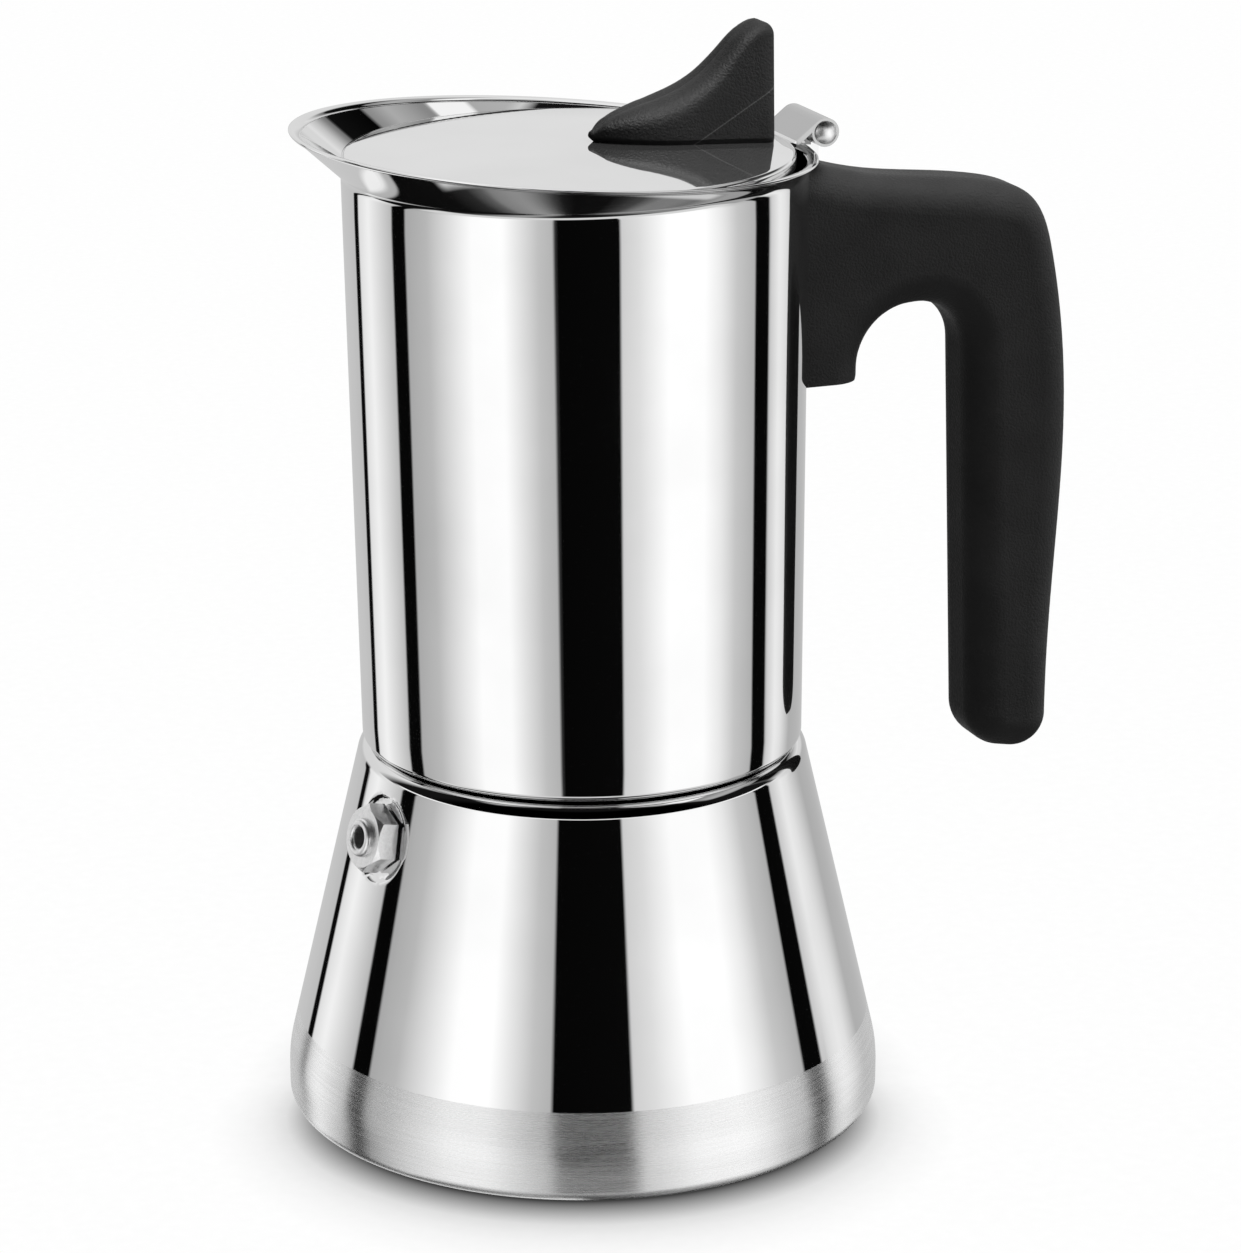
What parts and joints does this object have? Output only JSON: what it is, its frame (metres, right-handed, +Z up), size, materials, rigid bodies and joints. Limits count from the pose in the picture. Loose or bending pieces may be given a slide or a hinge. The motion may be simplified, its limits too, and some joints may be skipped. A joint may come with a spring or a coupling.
{
  "type": "moka pot",
  "caption": "Stovetop moka pot: conical boiler with safety valve, screwed collector with flared spout, funnel, gasket and filter inside, hinged lid with finned knob, black arched handle.",
  "frame": {"origin": "on the table under the middle of the boiler", "axes": "+Z up along the boiler's axis, +X towards the handle, -X towards the spout, +Y away from the viewer when the handle is on the right"},
  "size_m": [0.1377, 0.1014, 0.1839],
  "materials": {
    "polished_steel": "mirror-polished stainless steel",
    "brushed_steel": "turned, fine circular grain",
    "satin_steel": "drawn stainless steel, satin",
    "valve_metal": "nickel-plated, satin faces and polished edges",
    "screw_steel": "bright screw steel",
    "silicone": "soft off-white silicone",
    "black_plastic": "matte black, fine moulded grain"
  },
  "bodies": {
    "boiler": {"boiler_shell": "polished_steel", "boiler_neck": "satin_steel", "base_plate": "brushed_steel", "valve_body": "valve_metal", "valve_washer": "valve_metal", "valve_nut": "valve_metal", "valve_retainer": "valve_metal", "valve_spring": "screw_steel"},
    "funnel": {"funnel": "satin_steel", "funnel_stem": "satin_steel", "funnel_sieve": "satin_steel"},
    "seal_pack": {"gasket": "silicone", "filter_plate": "satin_steel"},
    "collector": {"collector_body": "polished_steel", "thread_ring": "satin_steel", "column": "satin_steel", "column_cap": "satin_steel", "hinge_bracket": "polished_steel", "hinge_pin": "polished_steel", "handle": "black_plastic", "handle_bracket": "satin_steel", "handle_screw": "screw_steel"},
    "lid": {"lid": "polished_steel", "lid_knob": "black_plastic", "knob_screw": "screw_steel"},
    "plunger": {"valve_plunger": "valve_metal"}
  },
  "joints": [
    {"name": "funnel_lift", "type": "slide", "parent": "boiler", "child": "funnel", "axis": [0, 0, 1], "range_m": [0, 0.09]},
    {"name": "thread_rise", "type": "slide", "parent": "funnel", "child": "seal_pack", "axis": [0, 0, 1], "range_m": [0, 0.006]},
    {"name": "thread_turn", "type": "hinge", "parent": "seal_pack", "child": "collector", "pos_m": [0, 0, 0.06], "axis": [0, 0, 1], "range_deg": [0, 720]},
    {"name": "lid_hinge", "type": "hinge", "parent": "collector", "child": "lid", "pos_m": [0.0403, 0, 0.1656], "axis": [0, 1, 0], "range_deg": [0, 105]},
    {"name": "valve_lift", "type": "slide", "parent": "boiler", "child": "plunger", "axis": [-0.9483, -0.2189, 0.2297], "range_m": [0, 0.001], "stiffness_N_per_m": 1500, "springref_m": -0.001, "deforming": ["valve_spring"]}
  ],
  "couplings": [
    {"joint": "thread_rise", "follows": "thread_turn", "m_per_rad": 0.00047746}
  ]
}
